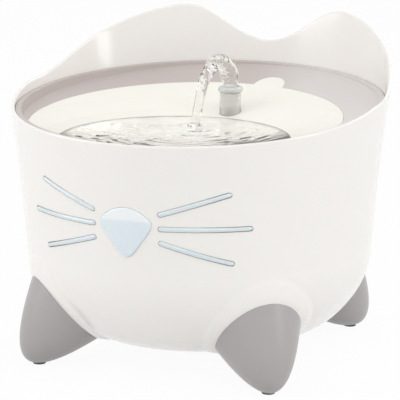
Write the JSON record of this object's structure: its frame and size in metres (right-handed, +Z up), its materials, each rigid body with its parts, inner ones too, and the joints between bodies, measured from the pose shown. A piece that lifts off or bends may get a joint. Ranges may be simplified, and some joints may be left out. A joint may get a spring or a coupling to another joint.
{
  "type": "pet water fountain",
  "caption": "Round flared water reservoir with two ear-shaped rises on slanted legs, with a lift-off drinking tray, spout post, filter basket and submersible pump.",
  "frame": {"origin": "on the floor under the middle of the fountain", "axes": "+Z up, -Y towards the face of the fountain, +X to the right seen from the front"},
  "size_m": [0.2386, 0.2391, 0.205],
  "materials": {
    "shell_white": "gloss",
    "leg_grey": "satin",
    "screw_steel": "brushed",
    "pad_rubber": "matte",
    "window_blue": "gloss",
    "gasket_rubber": "matte",
    "pod_white": "matte",
    "board_green": "satin",
    "lamp_resin": "gloss",
    "grommet_rubber": "matte",
    "pump_grey": "satin",
    "cover_grey": "satin",
    "magnet_black": "satin",
    "impeller_white": "satin",
    "shaft_steel": "polished",
    "bush_rubber": "matte",
    "dial_blue": "gloss",
    "suction_vinyl": "gloss",
    "foam_charcoal": "rough",
    "riser_clear": "gloss",
    "deck_taupe": "satin",
    "seal_rubber": "matte",
    "dish_cream": "gloss",
    "spout_clear": "gloss",
    "collar_blue": "gloss",
    "basket_white": "satin",
    "filter_felt": "rough",
    "grid_blue": "gloss"
  },
  "bodies": {
    "housing": {"reservoir_shell": "shell_white", "leg_front_left": "leg_grey", "leg_front_right": "leg_grey", "leg_rear_left": "leg_grey", "leg_rear_right": "leg_grey", "leg_screws": "screw_steel", "foot_pads": "pad_rubber", "nose_lens": "window_blue", "nose_gasket": "gasket_rubber", "whisker_window_left": "window_blue", "whisker_window_right": "window_blue", "whisker_gaskets": "gasket_rubber", "led_pod": "pod_white", "led_board": "board_green", "led_lamps": "lamp_resin", "cable_grommet": "grommet_rubber", "pump_body": "pump_grey", "pump_cover": "cover_grey", "impeller_shaft": "shaft_steel", "shaft_bushes": "bush_rubber", "suction_feet": "suction_vinyl", "riser_tube": "riser_clear"},
    "tray": {"deck_ring": "deck_taupe", "deck_seal": "seal_rubber", "drinking_dish": "dish_cream", "spout_post": "spout_clear", "spout_collar": "collar_blue", "spout_seal": "seal_rubber"},
    "filter": {"filter_basket": "basket_white", "filter_cartridge": "filter_felt", "filter_grid": "grid_blue"},
    "rotor": {"rotor_magnet": "magnet_black", "impeller": "impeller_white"},
    "dial": {"flow_dial": "dial_blue"},
    "foam": {"foam_cap": "foam_charcoal"}
  },
  "joints": [
    {"name": "tray_lift", "type": "slide", "parent": "housing", "child": "tray", "axis": [0, 0, 1], "range_m": [0, 0.08]},
    {"name": "filter_basket_drop", "type": "slide", "parent": "tray", "child": "filter", "axis": [0, 0, -1], "range_m": [0, 0.03]},
    {"name": "impeller_spin", "type": "hinge", "parent": "housing", "child": "rotor", "pos_m": [0, 0.0435, 0.042], "axis": [1, 0, 0], "continuous": true},
    {"name": "flow_dial_turn", "type": "hinge", "parent": "housing", "child": "dial", "pos_m": [0, 0.0435, 0.042], "axis": [1, 0, 0], "range_deg": [0, 60]},
    {"name": "foam_cap_pull", "type": "slide", "parent": "housing", "child": "foam", "axis": [1, 0, 0], "range_m": [0, 0.022]}
  ]
}
